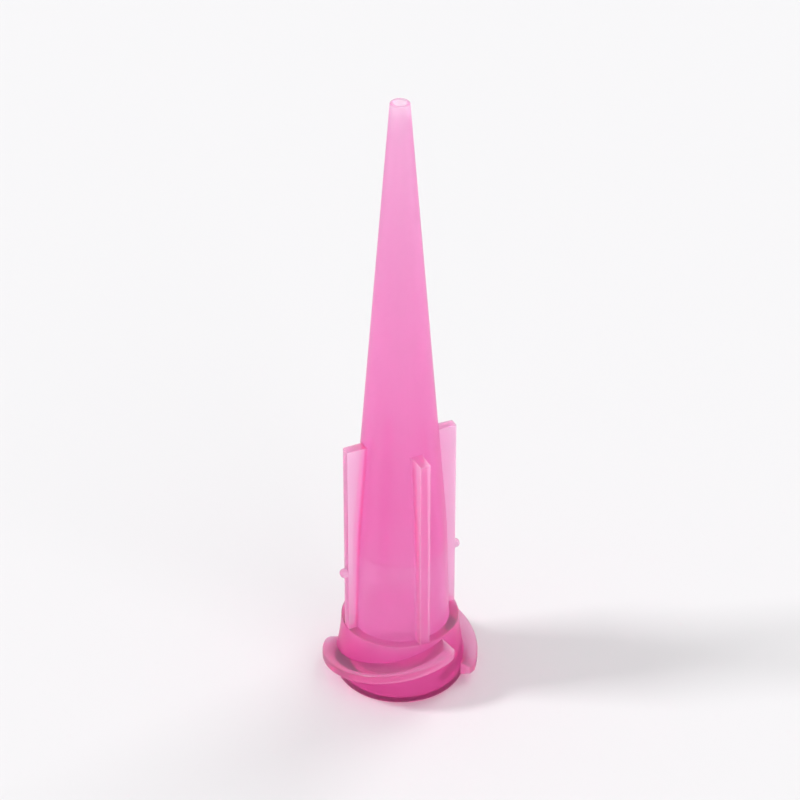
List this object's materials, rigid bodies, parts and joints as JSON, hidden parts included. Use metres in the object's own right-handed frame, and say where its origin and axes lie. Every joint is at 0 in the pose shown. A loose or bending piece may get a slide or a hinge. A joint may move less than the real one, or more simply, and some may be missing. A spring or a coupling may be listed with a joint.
{
  "type": "dispensing needle tip",
  "caption": "Translucent pink plastic taper tip for dispensing fluids: a lock-thread hub with a tapered socket, lengthwise ribs and a long cone that narrows to a fine outlet.",
  "frame": {"origin": "middle of the flat mouth face of the hub, which the tip stands on", "axes": "+Z runs along the tip from the hub's mouth to the nozzle end; +X and +Y lie in the mouth face, and one thread ridge starts on +X"},
  "size_m": [0.0078, 0.0078, 0.0318],
  "materials": {
    "pink_polyethylene": "translucent satin polyethylene, tinted pink right through"
  },
  "bodies": {
    "root": {"taper_tip": "pink_polyethylene"}
  },
  "joints": []
}
